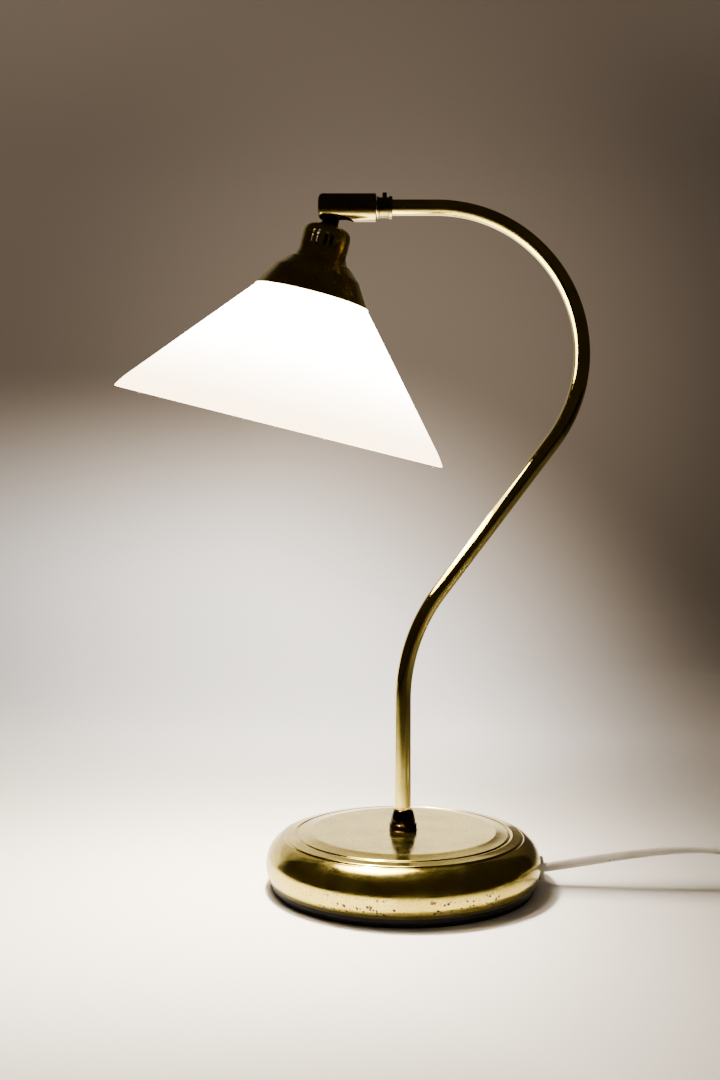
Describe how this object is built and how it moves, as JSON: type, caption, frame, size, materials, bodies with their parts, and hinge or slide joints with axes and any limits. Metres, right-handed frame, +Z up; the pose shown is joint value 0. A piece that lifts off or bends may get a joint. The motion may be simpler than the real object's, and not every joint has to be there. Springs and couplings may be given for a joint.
{
  "type": "desk lamp",
  "caption": "Swan-neck desk lamp: weighted round base, bent tube stem, swivel barrel and a tilting opal glass cone shade, with a plug-in flat lead and in-line switch.",
  "frame": {"origin": "on the table, on the axis of the upright foot of the stem, which is the middle of the round base", "axes": "+Z up; the neck bends in the XZ plane, the shade hangs towards -X and the lead leaves the base towards +X; -Y is the side seen when +X is to the right"},
  "size_m": [0.574, 0.2283, 0.4331],
  "materials": {
    "brass": "polished, lacquered",
    "dark_brass": "spun and lacquered, darker",
    "black_plastic": "moulded, fine texture",
    "phenolic": "moulded phenolic",
    "foam": "black foam rubber",
    "cast_iron": "rough cast",
    "steel": "zinc plated",
    "nylon": "moulded nylon",
    "white_pvc": "smooth extruded",
    "white_plastic": "moulded",
    "opal_glass": "opal, satin",
    "ceramic": "unglazed porcelain",
    "bulb_glass": "frosted",
    "clear_glass": "clear",
    "tungsten": "filament wire",
    "contact_brass": "stamped"
  },
  "bodies": {
    "base": {"base_shell": "brass", "base_weight": "cast_iron", "base_plate": "black_plastic", "plate_screws": "steel", "foot_pad": "foam", "cord_clamp": "black_plastic", "clamp_screws": "steel", "cord_gland": "nylon", "gland_nut": "nylon", "stem_tube": "brass", "stem_lead": "white_pvc", "stem_ferrule": "dark_brass", "stem_washer": "steel", "stem_nut": "steel", "arm_collar": "dark_brass", "collar_set_screw": "steel", "swivel_pin": "steel", "swivel_nut": "steel", "friction_washer": "steel", "supply_cord": "white_pvc", "coil_lead": "white_pvc", "plug_lead": "white_pvc", "cord_coil": "white_pvc", "cord_tie": "black_plastic", "switch_base": "white_plastic", "switch_cover": "white_plastic", "switch_screws": "steel", "switch_contacts": "contact_brass", "plug_body": "white_plastic", "plug_pins": "steel"},
    "barrel": {"barrel_plug": "dark_brass", "swivel_barrel": "dark_brass", "friction_shoe": "contact_brass", "shoe_springs": "steel"},
    "head": {"tilt_knuckle": "black_plastic", "cup_washer": "black_plastic", "shade_cup": "dark_brass", "stud_nut": "steel", "holder_body": "phenolic", "holder_core": "ceramic", "terminal_screws": "contact_brass", "screw_shell": "contact_brass", "centre_contact": "contact_brass", "shade_ring": "phenolic", "glass_shade": "opal_glass", "bulb_glass": "bulb_glass", "bulb_cap": "contact_brass", "bulb_insulator": "phenolic", "bulb_contact": "steel", "filament_support": "clear_glass", "filament": "tungsten", "head_lead": "white_pvc"},
    "rocker": {"switch_rocker": "white_plastic"}
  },
  "joints": [
    {"name": "arm_swivel", "type": "hinge", "parent": "base", "child": "barrel", "pos_m": [-0.035, 0, 0.4241], "axis": [1, 0, 0], "range_deg": [-90, 90]},
    {"name": "shade_tilt", "type": "hinge", "parent": "barrel", "child": "head", "pos_m": [-0.0432, 0, 0.4241], "axis": [0, 0.9986, 0.0532], "range_deg": [-26, 28]},
    {"name": "rocker_press", "type": "hinge", "parent": "base", "child": "rocker", "pos_m": [0.275, -0.008, 0.0134], "axis": [0, 1, 0], "range_deg": [-16, 0]}
  ]
}
